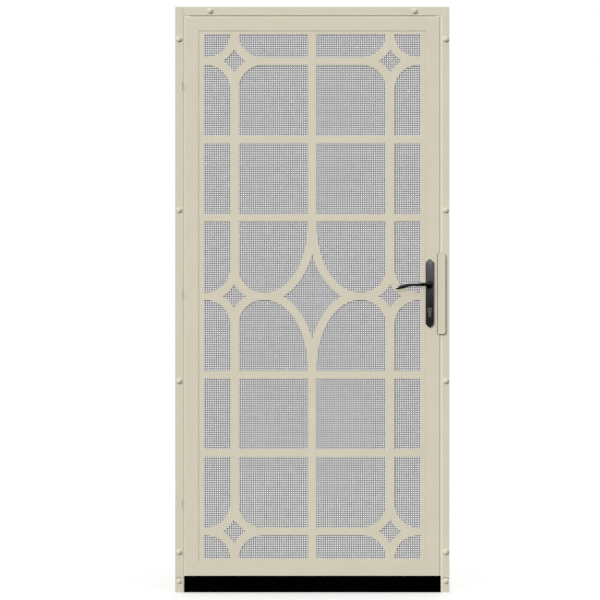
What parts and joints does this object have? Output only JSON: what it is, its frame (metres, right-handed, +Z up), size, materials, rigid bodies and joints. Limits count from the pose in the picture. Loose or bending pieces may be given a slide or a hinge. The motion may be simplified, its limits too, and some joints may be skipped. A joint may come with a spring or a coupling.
{
  "type": "steel security screen door",
  "caption": "Hinged steel screen door with a wall frame, a tube leaf, a cut sheet grille with star motifs over woven mesh, a lever lock and a bottom sweep.",
  "frame": {"origin": "on the wall plane, at the bottom middle of the hinge-side foot's flange", "axes": "+Z up, +Y from the front towards the wall, +X from the hinge side to the lock side"},
  "size_m": [0.9649, 0.128, 2.061],
  "materials": {
    "almond_powder_coat": "almond powder coat, fine orange peel, semi-matt",
    "mesh_steel": "woven steel mesh, dull grey",
    "bronze": "dark oil-rubbed bronze, satin",
    "black_paint": "black satin paint",
    "black_rubber": "black extruded rubber",
    "lock_steel": "plain satin steel"
  },
  "bodies": {
    "frame": {"hinge_jamb": "almond_powder_coat", "lock_jamb": "almond_powder_coat", "header": "almond_powder_coat", "hinge_jamb_extension": "almond_powder_coat", "lock_jamb_extension": "almond_powder_coat", "strike_plate": "lock_steel", "hinge_arm_top": "almond_powder_coat", "hinge_arm_middle": "almond_powder_coat", "hinge_arm_bottom": "almond_powder_coat"},
    "leaf": {"hinge_stile": "almond_powder_coat", "lock_stile": "almond_powder_coat", "top_rail": "almond_powder_coat", "bottom_rail": "almond_powder_coat", "decorative_grille": "almond_powder_coat", "latch_guard": "almond_powder_coat", "mesh_retainer_hinge": "almond_powder_coat", "mesh_retainer_lock": "almond_powder_coat", "mesh_retainer_top": "almond_powder_coat", "mesh_retainer_bottom": "almond_powder_coat", "hinge_clevis_top": "almond_powder_coat", "hinge_clevis_middle": "almond_powder_coat", "hinge_clevis_bottom": "almond_powder_coat", "escutcheon_outside": "bronze", "escutcheon_inside": "bronze", "key_cylinder": "bronze", "lock_case": "lock_steel", "lock_faceplate": "lock_steel", "latch_bolt": "lock_steel", "dead_bolt": "lock_steel", "hinge_pin_top": "lock_steel", "hinge_pin_middle": "lock_steel", "hinge_pin_bottom": "lock_steel", "screen_mesh": "mesh_steel", "bottom_expander": "black_paint", "door_sweep": "black_rubber", "guard_spacer": "black_rubber"},
    "levers": {"lever_outside": "bronze", "lever_inside": "bronze", "spindle": "lock_steel"}
  },
  "joints": [
    {"name": "leaf_swing", "type": "hinge", "parent": "frame", "child": "leaf", "pos_m": [0.02585, 0.0038, 1.045], "axis": [0, 0, -1], "range_deg": [0, 100]},
    {"name": "lever_turn", "type": "hinge", "parent": "leaf", "child": "levers", "pos_m": [0.8823, -0.0026, 1.0832], "axis": [0, -1, 0], "range_deg": [0, 45], "stiffness_Nm_per_rad": 1, "springref_deg": -34.38}
  ]
}
